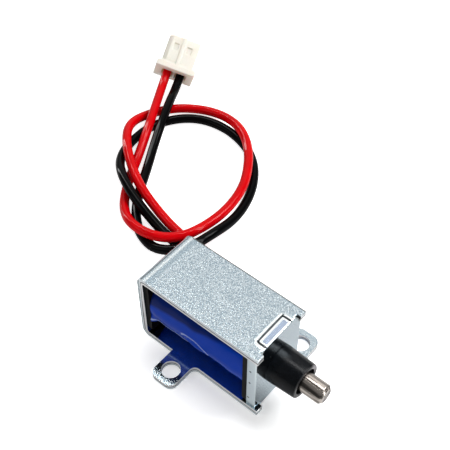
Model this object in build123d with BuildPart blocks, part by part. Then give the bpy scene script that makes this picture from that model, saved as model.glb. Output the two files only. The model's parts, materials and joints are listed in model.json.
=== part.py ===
from build123d import *
import math
import os

# Small open-frame solenoid lock with a round bolt, two leads and a two-way plug.
# Millimetres, +Z up, the bolt points along +X.
# The origin is midway between the two mounting holes, on the underside of the base.

# Frame: one bent strip with two ears
frame_length = 21.1
top_setback = 0.2
frame_width = 10.0
frame_height = 13.2
sheet = 1.0
bend_radius = 0.4
ear_width = 4.1
ear_end = 2.25
ear_corner = 1.2
ear_root_fillet = 0.9
hole_diameter = 2.7
hole_half_pitch_x = 5.6
hole_half_pitch_y = 7.55
relief_radius = 0.25
notch_clearance = 0.16

# Front plate, staked into the frame
plate_thickness = 1.5
plate_width = 9.4
plate_setback = 0.65
tenon_width = 7.3
tenon_chamfer = 0.3

# Moving iron and bolt
stroke = 3.0
bolt_diameter = 2.9
bolt_protrusion = 3.3
bolt_chamfer = 0.4
plunger_diameter = 4.0
plunger_chamfer = 0.2
running_clearance = 0.08
end_clearance = 0.05
bolt_spigot_diameter = 1.6
bolt_spigot_length = 2.5

# Guide tube and fixed core
guide_wall = 0.25
core_length = 5.5
press_clearance = 0.03
rivet_shank_diameter = 2.4
rivet_head_diameter = 3.4
rivet_head_height = 0.4
spring_pocket_depth = 2.5
plunger_pocket_depth = 1.0
shim_thickness = 0.2
shim_diameter = 3.9
bumper_thickness = 0.5

# Return spring
spring_wire = 0.3
spring_diameter = 2.5
spring_turns = 6
spring_pocket_clearance = 0.1

# Coil
fit_clearance = 0.05
barrel_wall = 0.5
flange_thickness = 0.7
flange_width = 9.4
flange_corner = 0.6
winding_diameter = 8.8
insulation_thickness = 0.1
tape_thickness = 0.2

# Nose sleeve
nose_length = 4.6
nose_root_diameter = 5.6
nose_tip_diameter = 5.2
nose_spigot_reach = 0.9
nose_recess_diameter = 3.9
nose_recess_depth = 0.6
nose_edge = 0.15

# Leads and their joints on the coil
lead_diameter = 1.6
lead_exit_gap = 0.4
red_exit_from_back = 4.65
red_exit_gap = 0.7
black_exit_from_back = 2.85
black_exit_gap = 0.05
joint_diameter = 0.9
joint_sleeve_wall = 0.2

# Two-way plug, leaning on one corner of its flange, its nose held up by the leads
plug_behind = 33.6
plug_y = 38.45
plug_heading = 111.5
plug_rise = 24.0
plug_lean = 20.0
plug_pitch = 2.5
plug_length = 6.8
plug_width = 6.0
plug_height = 4.2
plug_flange_width = 7.4
plug_flange_height = 4.8
plug_flange_length = 1.0
plug_flange_slope = 0.5
plug_rib_width = 0.7
plug_rib_height = 0.3
plug_bevel = 0.8
cavity_width = 2.1
cavity_height = 2.3
cavity_front_wall = 0.8
pin_opening = 1.0
window_width = 1.0
window_length = 1.4
window_from_front = 1.5
window_depth = 0.25
lead_insertion = 1.6
lead_straight = 2.5

# Crimp contacts
contact_sheet = 0.2
socket_width = 1.7
socket_height = 2.0
socket_length = 2.9
grip_length = 1.1
barrel_width = 1.3
barrel_length = 1.0
barrel_gap = 0.2
strand_diameter = 0.8

# Places worked out from the sizes
ear_reach = hole_half_pitch_y + ear_end
front_x = hole_half_pitch_x + ear_width / 2
rear_x = front_x - frame_length
back_inner_x = rear_x + sheet
plate_front_x = front_x - plate_setback
plate_rear_x = plate_front_x - plate_thickness
axis_z = frame_height / 2
inner_height = frame_height - 2 * sheet
flange_height = inner_height - 2 * fit_clearance
guide_bore = plunger_diameter + 2 * running_clearance
guide_diameter = guide_bore + 2 * guide_wall
bobbin_bore = guide_diameter + 2 * fit_clearance
bobbin_barrel = bobbin_bore + 2 * barrel_wall
insulation_diameter = winding_diameter + 2 * insulation_thickness
tape_diameter = insulation_diameter + 2 * tape_thickness
coil_rear_x = back_inner_x + flange_thickness
coil_front_x = plate_rear_x - flange_thickness
nose_bore = bolt_diameter + 2 * running_clearance
nose_spigot_diameter = guide_diameter
nose_front_x = plate_front_x + nose_length
nose_rear_x = plate_rear_x - nose_spigot_reach
bumper_rear_x = nose_rear_x - bumper_thickness
core_face_x = back_inner_x + core_length
shim_face_x = core_face_x + shim_thickness
plunger_rear_x = shim_face_x + stroke + end_clearance
plunger_front_x = bumper_rear_x - end_clearance
bolt_tip_x = nose_front_x + bolt_protrusion
spring_pocket_diameter = spring_diameter + 2 * spring_pocket_clearance
lead_exit_height = sheet + lead_exit_gap + lead_diameter / 2
joint_drop = axis_z - lead_exit_height
lead_seat = math.sqrt((tape_diameter / 2 + lead_diameter / 2) ** 2 - joint_drop ** 2)
red_exit = (red_exit_from_back, lead_seat + red_exit_gap)
black_exit = (black_exit_from_back, lead_seat + black_exit_gap)
plug_turn = math.radians(plug_heading)
plug_nose_up = math.radians(plug_rise)
plug_tilt = math.radians(plug_lean)
plug_corner_drop = (plug_flange_width * math.sin(plug_tilt) + plug_flange_height * math.cos(plug_tilt)) / 2
plug_z = plug_corner_drop * math.cos(plug_nose_up)
socket_front = plug_length - cavity_front_wall - end_clearance
socket_rear = socket_front - socket_length

# Lead routes: x from the frame's rear face, y and height. From the coil, in one loose overhand knot.
low = lead_diameter / 2
on_top = 2.6
over = 2.8
red_route = [
    (red_exit[0], red_exit[1], lead_exit_height), (red_exit[0], red_exit[1] + 2.5, lead_exit_height),
    (3.75, 8.8, 2.0), (2.05, 10.55, 1.5), (-0.35, 11.5, 1.0), (-3.75, 11.5, low),
    (-7.95, 11.8, low), (-12.75, 12.8, low), (-18.35, 13.85, over), (-24.0, 17.1, over),
    (-28.45, 20.65, 2.9), (-31.5, 24.6, 2.1), (-31.75, 29.4, low), (-29.15, 33.8, low),
    (-24.95, 36.8, low), (-20.15, 37.4, 1.5), (-15.15, 35.8, on_top), (-11.15, 33.0, on_top),
    (-7.95, 29.0, on_top), (-5.55, 24.6, on_top), (-4.55, 19.4, on_top), (-4.75, 14.6, over),
    (-6.15, 10.2, over), (-9.35, 7.6, over), (-14.15, 7.2, on_top), (-18.65, 9.8, 1.1),
    (-22.35, 14.6, low), (-25.0, 19.7, low), (-27.75, 25.7, over), (-31.15, 31.4, 2.75),
]
black_route = [
    (black_exit[0], black_exit[1], lead_exit_height), (black_exit[0], black_exit[1] + 1.75, lead_exit_height),
    (2.31, 6.75, 2.1), (1.29, 8.15, 1.9), (-0.12, 9.17, 1.65), (-1.77, 9.71, 1.35),
    (-4.75, 9.8, 0.85), (-8.25, 10.1, low), (-12.15, 10.8, low), (-17.15, 11.4, over),
    (-23.15, 14.1, over), (-27.2, 17.7, 1.4), (-29.05, 22.4, low), (-29.05, 27.6, low),
    (-26.85, 32.0, low), (-23.3, 34.75, low), (-18.5, 35.6, low), (-13.5, 34.65, low),
    (-9.4, 32.3, low), (-6.15, 28.4, low), (-4.15, 24.0, low), (-3.1, 19.2, 1.2),
    (-2.85, 14.0, over), (-3.75, 9.3, over), (-8.0, 6.5, 1.5), (-12.7, 7.55, low),
    (-16.4, 10.3, low), (-19.5, 14.5, low), (-22.05, 19.0, low), (-24.65, 23.6, 1.6),
    (-26.9, 28.1, 2.6), (-29.45, 33.0, 2.85),
]

os.makedirs("parts", exist_ok=True)


def plane_at(x):
    """Plane square to the bolt axis at x, its normal along +X."""
    return Plane(origin=(x, 0, axis_z), x_dir=(0, 1, 0), z_dir=(1, 0, 0))


def plug_plane(along, side=0.0, up=0.0):
    """Plane square to the plug's length, its own +X to the plug's right and +Y up."""
    level = math.cos(plug_nose_up)
    forward = Vector(math.cos(plug_turn) * level, math.sin(plug_turn) * level, math.sin(plug_nose_up))
    sideways = Vector(math.sin(plug_turn), -math.cos(plug_turn), 0)
    right = sideways * math.cos(plug_tilt) - sideways.cross(forward) * math.sin(plug_tilt)
    place = Vector(rear_x - plug_behind, plug_y, plug_z) + forward * along + right * side
    return Plane(origin=place + right.cross(forward) * up, x_dir=right, z_dir=forward * -1)


def save(part, name):
    """Label a finished piece and write it."""
    part.label = name
    export_step(part, "parts/" + name + ".step")
    return part


def ring(outer, inner, start, end):
    """Plain tube on the bolt axis between two places along X."""
    with BuildPart() as tube:
        with BuildSketch(plane_at(start)):
            Circle(outer / 2)
            Circle(inner / 2, mode=Mode.SUBTRACT)
        extrude(amount=end - start)
    return tube.part


def make_c_frame():
    """Top, back and base are one bent strip; two ears stand out from the base."""
    outer_bend = bend_radius + sheet
    with BuildPart() as c_frame:
        with BuildSketch(Plane.XZ):
            with Locations((rear_x, 0)):
                Rectangle(frame_length, frame_height, align=(Align.MIN, Align.MIN))
            fillet(vertices().group_by(Axis.X)[0], radius=outer_bend)
            with Locations((front_x - top_setback, inner_height + sheet)):
                Rectangle(top_setback, sheet, align=(Align.MIN, Align.MIN), mode=Mode.SUBTRACT)
        extrude(amount=frame_width / 2, both=True)
        with BuildSketch(Plane.XZ):
            with Locations((back_inner_x, sheet)):
                Rectangle(frame_length, inner_height, align=(Align.MIN, Align.MIN))
            fillet(vertices().group_by(Axis.X)[0], radius=bend_radius)
        extrude(amount=frame_width, both=True, mode=Mode.SUBTRACT)
        with BuildSketch(Plane.XY):
            with Locations((-hole_half_pitch_x, -ear_reach)):
                Rectangle(ear_width, ear_reach, align=(Align.CENTER, Align.MIN))
            with Locations((hole_half_pitch_x, ear_reach)):
                Rectangle(ear_width, ear_reach, align=(Align.CENTER, Align.MAX))
            fillet(vertices().group_by(Axis.Y)[0] + vertices().group_by(Axis.Y)[-1], radius=ear_corner)
        extrude(amount=sheet)
        root_x = hole_half_pitch_x - ear_width / 2
        roots = [
            edge
            for edge in c_frame.edges().filter_by(Axis.Z)
            if abs(abs(edge.center().X) - root_x) < 0.01
            and abs(abs(edge.center().Y) - frame_width / 2) < 0.01
            and edge.center().X * edge.center().Y > 0
            and edge.center().Z < sheet
        ]
        fillet(roots, radius=ear_root_fillet)
        with Locations(
            (-hole_half_pitch_x, -hole_half_pitch_y, sheet),
            (hole_half_pitch_x, hole_half_pitch_y, sheet),
        ):
            Hole(hole_diameter / 2, depth=2 * sheet)
        notch_rear = plate_rear_x - notch_clearance
        notch_half = tenon_width / 2 + notch_clearance
        with BuildSketch(Plane.XY):
            with Locations((notch_rear, 0)):
                Rectangle(frame_length, 2 * notch_half, align=(Align.MIN, Align.CENTER))
            with Locations((notch_rear, -notch_half), (notch_rear, notch_half)):
                Circle(relief_radius)
        extrude(amount=frame_height, mode=Mode.SUBTRACT)
        with BuildSketch(plane_at(rear_x)):
            Circle(rivet_shank_diameter / 2 + press_clearance)
        extrude(amount=sheet, mode=Mode.SUBTRACT)
    return save(c_frame.part, "c_frame")


def make_front_plate():
    """Plate between top and base, with a tenon through each and a bore for the nose sleeve."""
    with BuildPart() as front_plate:
        with BuildSketch(plane_at(plate_rear_x)):
            Rectangle(plate_width, inner_height)
            Rectangle(tenon_width, frame_height)
            Circle(nose_spigot_diameter / 2 + press_clearance, mode=Mode.SUBTRACT)
        extrude(amount=plate_thickness)
        for end in (0, -1):
            tip = front_plate.faces().filter_by(Axis.Z).sort_by(Axis.Z)[end]
            chamfer(tip.edges().filter_by(Axis.X), length=tenon_chamfer)
    return save(front_plate.part, "front_plate")


def make_bobbin():
    """Rear flange between the frame's inner bends, barrel, and front flange against the plate."""
    with BuildPart() as bobbin:
        with BuildSketch(plane_at(back_inner_x)):
            RectangleRounded(flange_width, flange_height - 2 * bend_radius, flange_corner)
        extrude(amount=flange_thickness)
        with BuildSketch(plane_at(back_inner_x)):
            Circle(bobbin_barrel / 2)
        extrude(amount=plate_rear_x - back_inner_x)
        with BuildSketch(plane_at(coil_front_x)):
            RectangleRounded(flange_width, flange_height, flange_corner)
        extrude(amount=flange_thickness)
        with BuildSketch(plane_at(back_inner_x)):
            Circle(bobbin_bore / 2)
        extrude(amount=plate_rear_x - back_inner_x, mode=Mode.SUBTRACT)
    return save(bobbin.part, "bobbin")


def make_coil():
    """Winding, its inner insulation and the outer tape, all between the flanges."""
    gap = 2 * fit_clearance
    save(ring(winding_diameter, bobbin_barrel + gap, coil_rear_x, coil_front_x), "coil_winding")
    insulation = ring(insulation_diameter, winding_diameter + 0.5 * gap, coil_rear_x, coil_front_x)
    save(insulation, "winding_insulation")
    save(ring(tape_diameter, insulation_diameter, coil_rear_x, coil_front_x), "coil_tape")


def make_guide_tube():
    """Thin tube in which the plunger runs, from the back to the nose sleeve's spigot."""
    return save(ring(guide_diameter, guide_bore, back_inner_x, nose_rear_x), "guide_tube")


def make_fixed_core():
    """Turned core with a spring pocket, riveted through the back."""
    with BuildPart() as fixed_core:
        with BuildSketch(plane_at(back_inner_x)):
            Circle(guide_bore / 2 - press_clearance)
        extrude(amount=core_length)
        with BuildSketch(plane_at(rear_x)):
            Circle(rivet_shank_diameter / 2)
        extrude(amount=sheet)
        with BuildSketch(plane_at(rear_x - rivet_head_height)) as head:
            Circle(rivet_head_diameter / 2)
        extrude(amount=rivet_head_height)
        chamfer(fixed_core.edges().group_by(Axis.X)[0], length=0.5 * rivet_head_height)
        with BuildSketch(plane_at(core_face_x - spring_pocket_depth)):
            Circle(spring_pocket_diameter / 2)
        extrude(amount=spring_pocket_depth, mode=Mode.SUBTRACT)
    return save(fixed_core.part, "fixed_core")


def make_core_shim():
    """Thin washer on the core's face that keeps the plunger from sticking."""
    return save(ring(shim_diameter, spring_pocket_diameter, core_face_x, shim_face_x), "core_shim")


def make_plunger():
    """Moving iron: spring pocket at the rear, hole for the bolt's spigot at the front."""
    with BuildPart() as plunger:
        with BuildSketch(plane_at(plunger_rear_x)):
            Circle(plunger_diameter / 2)
        extrude(amount=plunger_front_x - plunger_rear_x)
        chamfer(plunger.edges().group_by(Axis.X)[0], length=plunger_chamfer)
        chamfer(plunger.edges().group_by(Axis.X)[-1], length=plunger_chamfer)
        with BuildSketch(plane_at(plunger_rear_x)):
            Circle(spring_pocket_diameter / 2)
        extrude(amount=plunger_pocket_depth, mode=Mode.SUBTRACT)
        with BuildSketch(plane_at(plunger_front_x - bolt_spigot_length)):
            Circle(bolt_spigot_diameter / 2 + press_clearance)
        extrude(amount=bolt_spigot_length, mode=Mode.SUBTRACT)
    return save(plunger.part, "plunger")


def make_lock_bolt():
    """Round bolt with a chamfered tip and a spigot pressed into the plunger."""
    with BuildPart() as lock_bolt:
        with BuildSketch(plane_at(plunger_front_x)):
            Circle(bolt_diameter / 2)
        extrude(amount=bolt_tip_x - plunger_front_x)
        with BuildSketch(plane_at(plunger_front_x - bolt_spigot_length + press_clearance)):
            Circle(bolt_spigot_diameter / 2)
        extrude(amount=bolt_spigot_length - press_clearance)
        chamfer(lock_bolt.edges().group_by(Axis.X)[-1], length=bolt_chamfer)
    return save(lock_bolt.part, "lock_bolt")


def make_return_spring():
    """Coil spring between the pockets of core and plunger, at its rest length."""
    start = core_face_x - spring_pocket_depth + spring_wire / 2 + end_clearance
    end = plunger_rear_x + plunger_pocket_depth - spring_wire / 2 - end_clearance
    with BuildPart() as return_spring:
        with BuildLine():
            coil = Helix(pitch=(end - start) / spring_turns, height=end - start,
                         radius=(spring_diameter - spring_wire) / 2,
                         center=(start, 0, axis_z), direction=(1, 0, 0))
        with BuildSketch(Plane(origin=coil @ 0, z_dir=coil % 0)):
            Circle(spring_wire / 2)
        sweep(path=coil)
    return save(return_spring.part, "return_spring")


def make_nose_sleeve():
    """Tapered sleeve on the plate's front, with a spigot through it and a recess at the tip."""
    with BuildPart() as nose_sleeve:
        with BuildSketch(plane_at(plate_front_x)):
            Circle(nose_root_diameter / 2)
        with BuildSketch(plane_at(nose_front_x)):
            Circle(nose_tip_diameter / 2)
        loft()
        fillet(nose_sleeve.edges().group_by(Axis.X)[-1], radius=nose_edge)
        with BuildSketch(plane_at(nose_rear_x)):
            Circle(nose_spigot_diameter / 2)
        extrude(amount=plate_front_x - nose_rear_x)
        with BuildSketch(plane_at(nose_front_x - nose_recess_depth)):
            Circle(nose_recess_diameter / 2)
        extrude(amount=nose_recess_depth, mode=Mode.SUBTRACT)
        with BuildSketch(plane_at(nose_rear_x)):
            Circle(nose_bore / 2)
        extrude(amount=nose_front_x - nose_rear_x, mode=Mode.SUBTRACT)
    return save(nose_sleeve.part, "nose_sleeve")


def make_bumper_washer():
    """Soft washer behind the sleeve's spigot that stops the plunger at rest."""
    outer = guide_bore - 2 * fit_clearance
    return save(ring(outer, nose_bore, bumper_rear_x, nose_rear_x), "bumper_washer")


def joint_reach(exit_y, radius):
    """How far a rod of that radius runs in from a lead's end until it meets the tape."""
    seat = tape_diameter / 2 + radius
    return exit_y - math.sqrt(max(seat ** 2 - joint_drop ** 2, 0))


def make_lead_joints():
    """Where winding and leads are soldered, under the coil, each with a short sleeve."""
    exits = ((rear_x + red_exit[0], red_exit[1]), (rear_x + black_exit[0], black_exit[1]))
    joint_radius = joint_diameter / 2
    sleeve_radius = joint_radius + joint_sleeve_wall
    with BuildPart() as solder_joints:
        for exit_x, exit_y in exits:
            place = Plane(origin=(exit_x, exit_y, lead_exit_height), x_dir=(1, 0, 0), z_dir=(0, -1, 0))
            with BuildSketch(place):
                Circle(joint_radius)
            extrude(amount=joint_reach(exit_y, joint_radius))
    save(solder_joints.part, "solder_joints")
    with BuildPart() as joint_sleeves:
        for exit_x, exit_y in exits:
            place = Plane(origin=(exit_x, exit_y, lead_exit_height), x_dir=(1, 0, 0), z_dir=(0, -1, 0))
            with BuildSketch(place):
                Circle(sleeve_radius)
                Circle(joint_radius, mode=Mode.SUBTRACT)
            extrude(amount=joint_reach(exit_y, sleeve_radius))
    save(joint_sleeves.part, "joint_sleeves")


def make_lead(name, route, side):
    """One lead: straight runs joined by arcs as large as their runs allow."""
    points = [Vector(rear_x + x, y, height) for x, y, height in route]
    points.append(plug_plane(-lead_straight, side).origin)
    points.append(plug_plane(lead_insertion, side).origin)
    radii = []
    for before, corner, after in zip(points, points[1:], points[2:]):
        turn = math.radians((corner - before).get_angle(after - corner))
        shorter = min((corner - before).length, (after - corner).length)
        radii.append(0.45 * shorter / math.tan(turn / 2))
    with BuildPart() as lead:
        with BuildLine():
            path = FilletPolyline(*points, radius=radii)
        with BuildSketch(Plane(origin=path @ 0, z_dir=path % 0)):
            Circle(lead_diameter / 2)
        sweep(path=path)
    length = path.length
    full = math.pi * lead_diameter ** 2 / 4 * length
    print(name, "radii", [round(radius, 1) for radius in radii])
    print(name, "length", round(length, 1), "volume share", round(lead.part.volume / full, 4))
    return save(lead.part, name)


def make_plug_housing():
    """Moulded shell with two cavities, pin openings, a flared flange, a rib and two windows."""
    sides = (-plug_pitch / 2, plug_pitch / 2)
    with BuildPart() as plug_housing:
        with BuildSketch(plug_plane(plug_length)):
            Rectangle(plug_width, plug_height)
            chamfer(vertices().group_by(Axis.Y)[-1].sort_by(Axis.X)[0], length=plug_bevel)
        extrude(amount=plug_length)
        with BuildSketch(plug_plane(plug_flange_length)):
            Rectangle(plug_flange_width, plug_flange_height)
        extrude(amount=plug_flange_length)
        with BuildSketch(plug_plane(plug_flange_length)):
            Rectangle(plug_flange_width, plug_flange_height)
        with BuildSketch(plug_plane(plug_flange_length + plug_flange_slope)):
            Rectangle(plug_width, plug_height)
        loft()
        with BuildSketch(plug_plane(plug_length, 0, plug_height / 2)):
            Rectangle(plug_rib_width, 2 * plug_rib_height)
        extrude(amount=plug_length)
        with BuildSketch(plug_plane(plug_length - cavity_front_wall)):
            with Locations(*[(side, 0) for side in sides]):
                Rectangle(cavity_width, cavity_height)
        extrude(amount=plug_length, mode=Mode.SUBTRACT)
        with BuildSketch(plug_plane(plug_length)):
            with Locations(*[(side, 0) for side in sides]):
                Rectangle(pin_opening, pin_opening)
        extrude(amount=plug_length, mode=Mode.SUBTRACT)
        with BuildSketch(plug_plane(plug_length - window_from_front, 0, plug_height / 2 - window_depth)):
            with Locations(*[(side, 0) for side in sides]):
                Rectangle(window_width, plug_height, align=(Align.CENTER, Align.MIN))
        extrude(amount=window_length, mode=Mode.SUBTRACT)
    return save(plug_housing.part, "plug_housing")


def make_plug_contacts():
    """Crimp contacts: a socket, a conductor barrel and a grip round the insulation."""
    sides = (-plug_pitch / 2, plug_pitch / 2)
    floor_y = -socket_height / 2
    with BuildPart() as plug_contacts:
        with BuildSketch(plug_plane(socket_front)):
            with Locations(*[(side, 0) for side in sides]):
                Rectangle(socket_width, socket_height)
                Rectangle(socket_width - 2 * contact_sheet, socket_height - 2 * contact_sheet,
                          mode=Mode.SUBTRACT)
        extrude(amount=socket_length)
        with BuildSketch(plug_plane(socket_rear)):
            with Locations(*[(side, floor_y) for side in sides]):
                Rectangle(barrel_width, contact_sheet, align=(Align.CENTER, Align.MIN))
        extrude(amount=socket_rear - lead_insertion)
        with BuildSketch(plug_plane(lead_insertion + barrel_gap + barrel_length)):
            with Locations(*[(side, floor_y) for side in sides]):
                Rectangle(barrel_width, (socket_height + barrel_width) / 2, align=(Align.CENTER, Align.MIN))
            with Locations(*[(side, 0) for side in sides]):
                Circle(strand_diameter / 2 + press_clearance, mode=Mode.SUBTRACT)
        extrude(amount=barrel_length)
        with BuildSketch(plug_plane(lead_insertion)):
            with Locations(*[(side, 0) for side in sides]):
                Circle(socket_height / 2)
                Circle(lead_diameter / 2 + press_clearance, mode=Mode.SUBTRACT)
        extrude(amount=grip_length)
    return save(plug_contacts.part, "plug_contacts")


def make_lead_strands():
    """Bare strands from each lead's end through the conductor barrel."""
    length = 2 * barrel_gap + barrel_length
    with BuildPart() as lead_strands:
        with BuildSketch(plug_plane(lead_insertion + length)):
            with Locations((-plug_pitch / 2, 0), (plug_pitch / 2, 0)):
                Circle(strand_diameter / 2)
        extrude(amount=length)
    return save(lead_strands.part, "lead_strands")


make_c_frame()
make_front_plate()
make_bobbin()
make_coil()
make_guide_tube()
make_fixed_core()
make_core_shim()
make_plunger()
make_lock_bolt()
make_return_spring()
make_nose_sleeve()
make_bumper_washer()
make_lead_joints()
make_lead("lead_red", red_route, -plug_pitch / 2)
make_lead("lead_black", black_route, plug_pitch / 2)
make_plug_housing()
make_plug_contacts()
make_lead_strands()
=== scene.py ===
import json
import math

import bpy
from bpy.props import FloatProperty, FloatVectorProperty, IntProperty, PointerProperty
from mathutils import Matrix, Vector

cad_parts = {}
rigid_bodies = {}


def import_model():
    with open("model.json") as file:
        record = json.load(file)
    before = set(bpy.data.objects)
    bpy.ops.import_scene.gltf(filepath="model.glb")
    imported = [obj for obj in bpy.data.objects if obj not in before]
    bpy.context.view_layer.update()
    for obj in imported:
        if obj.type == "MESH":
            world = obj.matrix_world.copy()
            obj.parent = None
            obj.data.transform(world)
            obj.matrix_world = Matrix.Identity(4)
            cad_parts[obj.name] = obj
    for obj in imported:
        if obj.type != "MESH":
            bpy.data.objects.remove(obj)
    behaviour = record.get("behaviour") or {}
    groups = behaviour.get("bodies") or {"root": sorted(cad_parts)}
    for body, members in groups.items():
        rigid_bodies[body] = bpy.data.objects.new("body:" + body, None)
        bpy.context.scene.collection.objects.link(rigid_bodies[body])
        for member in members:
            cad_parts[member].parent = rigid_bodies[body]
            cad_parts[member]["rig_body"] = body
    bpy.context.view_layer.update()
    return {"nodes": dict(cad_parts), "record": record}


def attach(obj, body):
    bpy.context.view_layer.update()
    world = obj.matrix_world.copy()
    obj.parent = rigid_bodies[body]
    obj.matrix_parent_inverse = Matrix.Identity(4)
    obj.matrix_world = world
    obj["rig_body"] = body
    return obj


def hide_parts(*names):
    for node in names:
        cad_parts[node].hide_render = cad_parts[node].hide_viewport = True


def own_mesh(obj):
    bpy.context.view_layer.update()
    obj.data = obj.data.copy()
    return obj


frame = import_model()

bl_info = {
    "name": "Solenoid lock",
    "version": (1, 0, 0),
    "blender": (4, 5, 0),
    "location": "View3D > Sidebar > Solenoid lock",
    "description": "Dresses a small open-frame solenoid lock with its finishes, tape, leads and stage",
    "category": "Object",
}

MM = 0.001


def box_of(node):
    """The low and high corner of a CAD node."""
    places = [corner.co for corner in frame["nodes"][node].data.vertices]
    return [Vector([pick(place[axis] for place in places) for axis in range(3)]) for pick in (min, max)]


FRAME_LOW, FRAME_HIGH = box_of("c_frame")
PLATE_LOW, PLATE_HIGH = box_of("front_plate")
BOLT_LOW, BOLT_HIGH = box_of("lock_bolt")
SLEEVE_LOW, SLEEVE_HIGH = box_of("nose_sleeve")
TAPE_LOW, TAPE_HIGH = box_of("coil_tape")
SPRING_LOW, SPRING_HIGH = box_of("return_spring")


def colour(name, text, default):
    return FloatVectorProperty(name=name, description=text, default=default, subtype="COLOR", min=0, max=1)


def number(name, text, default):
    return FloatProperty(name=name, description=text, default=default)


def length(name, text, default):
    return FloatProperty(name=name, description=text, default=default, unit="LENGTH", precision=5)


def position(name, text, default):
    return FloatVectorProperty(name=name, description=text, default=default, unit="LENGTH", precision=5)


def direction(name, text, default):
    return FloatVectorProperty(name=name, description=text, default=default, subtype="DIRECTION")


def angle(name, text, degrees):
    return FloatProperty(name=name, description=text, default=math.radians(degrees), unit="ROTATION")


class StageSettings(bpy.types.PropertyGroup):
    camera_place: position("Camera place", "Where the camera stands", (0.040346, -0.050136, 0.102325))
    camera_turn: FloatVectorProperty(
        name="Camera turn", description="How the camera is turned", subtype="EULER",
        default=(math.radians(41.27), math.radians(0.09), math.radians(40.11)))
    camera_lens: number("Lens", "Focal length on a 36 mm sensor, in millimetres", 67.33)
    floor_size: length("Floor size", "Side of the square floor", 1.2)
    floor_lift: number("Floor lift", "Light added to the floor as the camera sees it", 0.8)
    shade_lift: number("Shade lift", "The same for the shaded floor under the frame", 0.36)
    shade_place: position("Shade place", "Middle of that shaded floor", (0, -0.002, 0))
    shade_half: position("Shade half", "Half its sides", (0.008, 0.004, 0))
    shade_fade: length("Shade fade", "How far out of it the lift changes", 0.006)
    sky: number("Sky", "Strength of the even light from all round", 0.46)
    key_power: FloatProperty(
        name="Key light", description="Power of the large lamp overhead", default=1.05, unit="POWER")
    key_size: length("Key size", "Side of that lamp", 0.15)
    key_place: position("Key place", "Where that lamp hangs", (0.13, 0.22, 0.3))
    fill_power: FloatProperty(
        name="Fill light", description="Power of the lamp at the front", default=0.12, unit="POWER")
    fill_size: length("Fill size", "Side of that lamp", 0.2)
    fill_place: position("Fill place", "Where that lamp stands", (-0.2, -0.24, 0.2))
    shine: direction("Shine", "Where the sky that reflections show is brightest", (-0.426, 0.504, 0.751))
    strip: number("Strip", "Strength of the long lamp that reflections show", 16)
    strip_across: direction("Strip across", "Direction across that long lamp", (-0.017, 0.957, -0.289))
    strip_width: number("Strip width", "Sine of half the angle that the long lamp spans", 0.05)


class FinishSettings(bpy.types.PropertyGroup):
    zinc_light: colour("Light zinc", "Bright grains of the zinc plating", (0.92, 0.98, 1.0))
    zinc_dark: colour("Dark zinc", "Dull grains of the zinc plating", (0.28, 0.37, 0.43))
    nickel: colour("Nickel", "Plating of the bolt", (0.58, 0.52, 0.47))
    tape: colour("Tape", "Blue film tape on the coil", (0.0, 0.042, 0.42))
    sleeve: colour("Sleeve", "Black nose sleeve", (0.002, 0.0026, 0.0036))
    sleeve_face: colour("Sleeve face", "End face of the nose sleeve", (0.025, 0.025, 0.027))
    # A painted highlight on the sleeve's end face, and where it lies
    sleeve_highlight: colour("Sleeve worn", "Worn patch on that end face", (0.3, 0.28, 0.3))
    sleeve_patch: position("Sleeve patch", "Middle of that patch", (SLEEVE_HIGH.x, 0.0018, 0.0076))
    red: colour("Red lead", "Insulation of the red lead", (0.77, 0.0, 0.003))
    black: colour("Black lead", "Insulation of the black lead", (0.002, 0.002, 0.0024))
    ivory: colour("Plug", "Moulded plug housing", (0.9, 0.85, 0.76))
    # Tones painted on the rolled rims: a painted highlight on the near side, and on the far side a painted
    # dark reflection, whose tone also paints shade into the gaps and dents
    rim_highlight: colour("Bright rim", "Rolled edge that catches the light", (0.95, 0.99, 1.0))
    painted_dark: colour("Dark rim", "Rolled edge on the far side, and dents", (0.12, 0.13, 0.13))
    # Painted highlight along the bend of the top
    bend_highlight: colour("Bend line", "Pale line along the bend of the top", (0.95, 1.0, 1.0))
    plate_strip: colour("Plate strip", "Bluish strip on the plate's staked end", (0.46, 0.54, 0.68))
    # Painted highlight along the bubble's rim and along the fold of the tape
    crease: colour("Crease", "Pale line where the tape's film is creased", (0.55, 0.66, 1.0))
    # Where the painted shade on the upper part of the tape begins, and how its edge slants along the coil
    shade_height: length("Lap height", "How high on the coil its tape is doubled", 0.0096)
    shade_slant: number("Lap slant", "How much that height changes along the coil", -0.115)
    grain: length("Zinc grain", "Size of the grains in the zinc plating", 0.00014)


class MarkSettings(bpy.types.PropertyGroup):
    # Places of the bend's painted highlight and painted shade, and width of the far edge's painted dark
    # reflection
    bend_highlight: length("Bend line", "Pale line across the top, from the back", 0.0014)
    bend_shade: length("Bend band", "Dull band beside it, from the back", 0.002)
    dark_reflection_width: length("Edge line", "Width of the dark line along the far edge of the top", 0.00017)
    stake: position("Stake", "Middle of the plate's staked end", (PLATE_HIGH.x, -0.0001, PLATE_HIGH.z))
    stake_half: position("Stake half", "Half its sides", (0.0011, 0.0022, 0.0004))
    stake_area: position("Stake area", "Middle of what shows of it", (0.0062, 0, PLATE_HIGH.z + 0.00005))
    stake_area_half: position("Stake area half", "Half the sides of that area", (0.0011, 0.005, 0))
    strip: position("Strip", "Middle of the bluish strip on it", (0.00634, -0.0001, PLATE_HIGH.z))
    strip_half: position("Strip half", "Half the sides of that strip", (0.00025, 0.0021, 0.00002))
    # The gaps beside the plate's end are drawn in painted shade
    gap: position("Gap", "Middle of the gaps beside the plate's end", (0.00715, 0, 0.01295))
    gap_depth: length("Gap depth", "Half how deep those gaps look", 0.0003)
    dent: length("Dent", "Radius of each small dent", 0.00014)


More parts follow.
